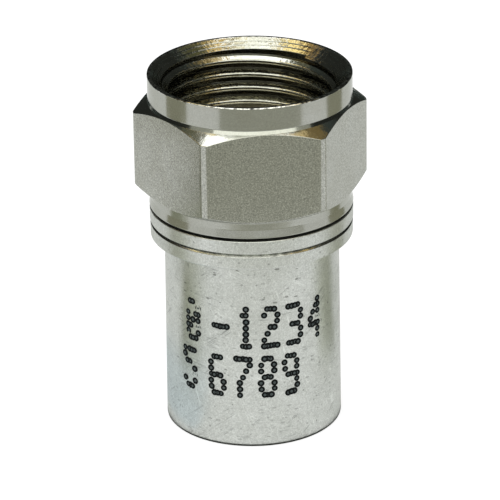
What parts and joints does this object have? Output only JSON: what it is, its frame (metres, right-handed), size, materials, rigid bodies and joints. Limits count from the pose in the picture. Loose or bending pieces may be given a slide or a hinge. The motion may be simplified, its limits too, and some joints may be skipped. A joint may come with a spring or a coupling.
{
  "type": "f connector",
  "caption": "Crimp-type male coaxial F connector: a captive hexagonal coupling nut that spins on its hub, a post for the cable's braid and a plain crimp sleeve.",
  "frame": {"origin": "centre of the crimp sleeve's rear edge, on the connector's axis", "axes": "+Z along the connector's axis towards the nut's mouth; at rest two of the nut's flats face +Y and -Y"},
  "size_m": [0.0126, 0.0112, 0.02],
  "materials": {
    "sleeve_tin": "matte tin plating with fine pits and hairlines",
    "hub_tin": "matte tin plating",
    "post_tin": "turned, tin plated",
    "seal_rubber": "moulded rubber",
    "nut_nickel": "satin nickel plating over turned and drawn faces"
  },
  "bodies": {
    "cable_end": {"crimp_sleeve": "sleeve_tin", "hub": "hub_tin", "post": "post_tin", "nut_seal": "seal_rubber"},
    "nut": {"coupling_nut": "nut_nickel"}
  },
  "joints": [
    {"name": "nut_spin", "type": "hinge", "parent": "cable_end", "child": "nut", "pos_m": [0, 0, 0.0163], "axis": [0, 0, 1], "continuous": true}
  ]
}
